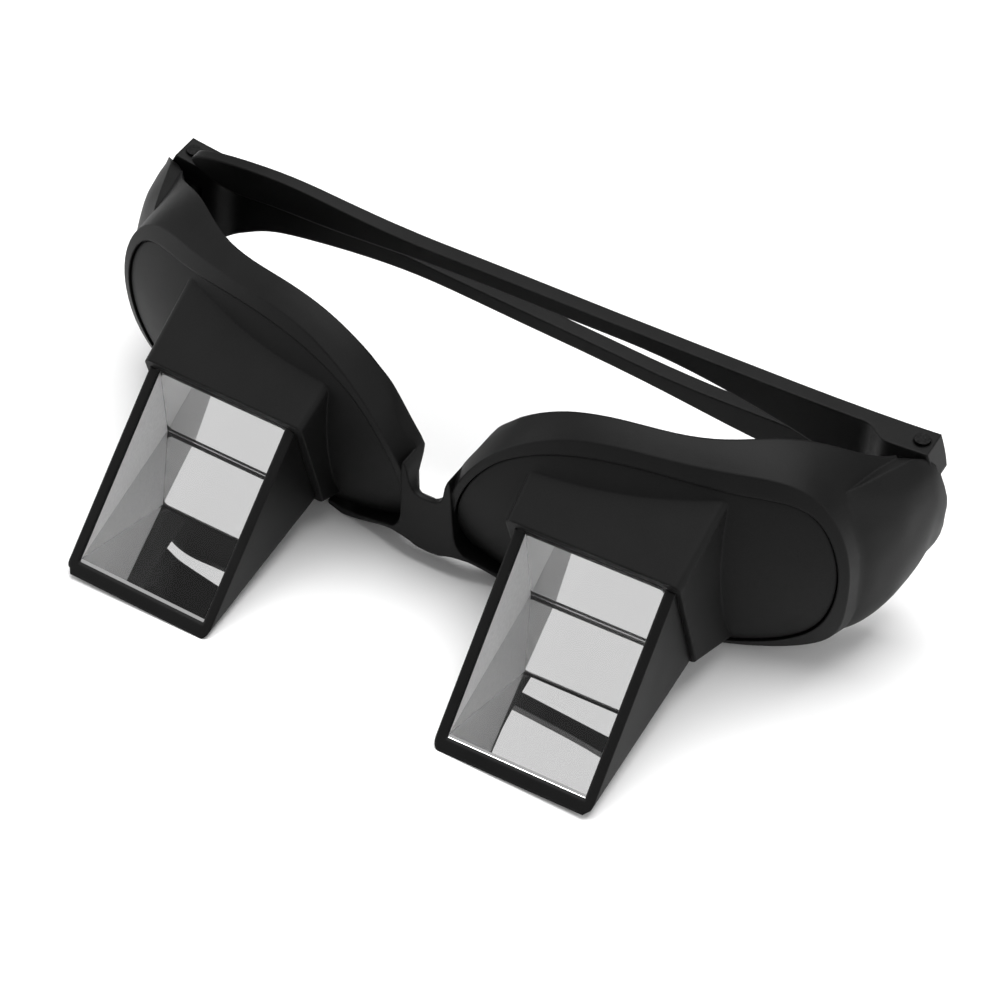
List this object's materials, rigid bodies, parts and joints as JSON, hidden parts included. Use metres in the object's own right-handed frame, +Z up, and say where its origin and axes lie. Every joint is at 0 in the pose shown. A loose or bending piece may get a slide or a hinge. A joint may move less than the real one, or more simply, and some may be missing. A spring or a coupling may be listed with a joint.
{
  "type": "prism bed glasses",
  "caption": "Wrap-around black glasses with a hooded right-angle prism before each eye and folding temples, resting brow side down.",
  "frame": {"origin": "centre of the flat front face of the bridge between the two rims", "axes": "+X to the right as the picture sees it, +Y backward from the prism windows to the temples, +Z up as the glasses rest on a table with their brow edge down"},
  "size_m": [0.1391, 0.0692, 0.0395],
  "materials": {
    "frame_plastic": "satin moulded",
    "panel_plastic": "satin moulded",
    "housing_plastic": "satin moulded",
    "temple_plastic": "satin moulded",
    "prism_glass": "polished, ground side faces",
    "base_mirror": "silvered",
    "pin_steel": "plain"
  },
  "bodies": {
    "front": {"front_frame": "frame_plastic", "right_lens_panel": "panel_plastic", "left_lens_panel": "panel_plastic", "right_prism_housing": "housing_plastic", "left_prism_housing": "housing_plastic", "right_prism": "prism_glass", "left_prism": "prism_glass", "right_base_mirror": "base_mirror", "left_base_mirror": "base_mirror", "right_hinge_pin": "pin_steel", "left_hinge_pin": "pin_steel"},
    "right_arm": {"right_temple": "temple_plastic"},
    "left_arm": {"left_temple": "temple_plastic"}
  },
  "joints": [
    {"name": "right_temple_fold", "type": "hinge", "parent": "front", "child": "right_arm", "pos_m": [0.065, 0.029, 0.0199], "axis": [-0.0349, 0, -0.9994], "range_deg": [0, 93]},
    {"name": "left_temple_fold", "type": "hinge", "parent": "front", "child": "left_arm", "pos_m": [-0.065, 0.029, 0.0199], "axis": [0.1184, 0, 0.993], "range_deg": [0, 88]}
  ]
}
